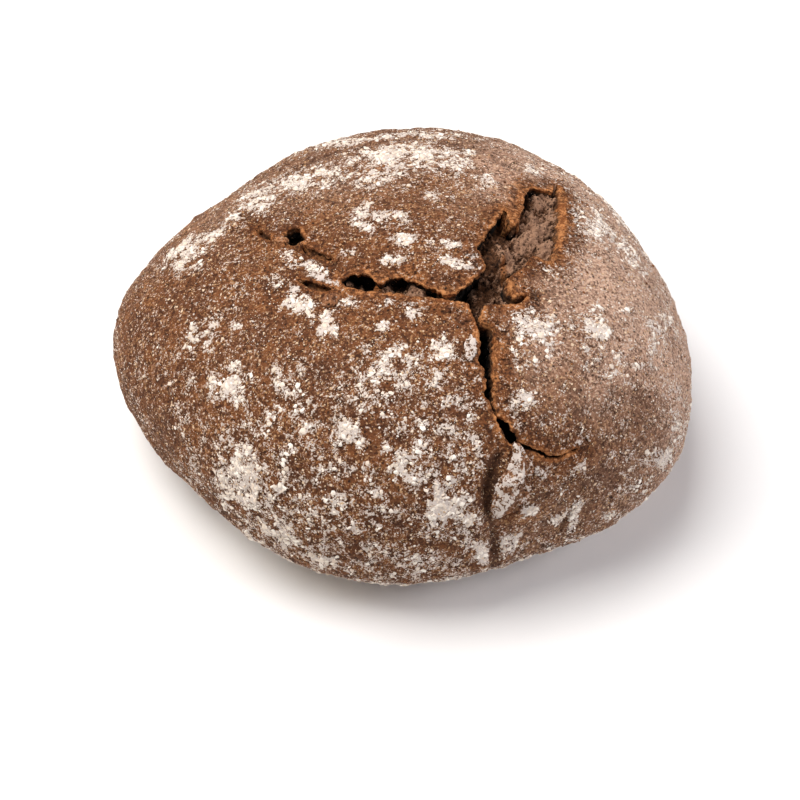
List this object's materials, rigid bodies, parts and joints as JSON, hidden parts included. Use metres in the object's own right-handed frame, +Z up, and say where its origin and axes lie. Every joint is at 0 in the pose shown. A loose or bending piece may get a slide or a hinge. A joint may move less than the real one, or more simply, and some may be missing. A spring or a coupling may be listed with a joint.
{
  "type": "rye bread loaf",
  "caption": "Round hand-shaped rye loaf with a cracked, flour-dusted brown crust and a flat foot.",
  "frame": {"origin": "middle of the loaf's bounding box, on the surface it stands on", "axes": "+Z up, the front with the long crack towards -Y, +X to the right"},
  "size_m": [0.2088, 0.2064, 0.0984],
  "materials": {
    "crust": null
  },
  "bodies": {
    "root": {"rye_loaf": "crust"}
  },
  "joints": []
}
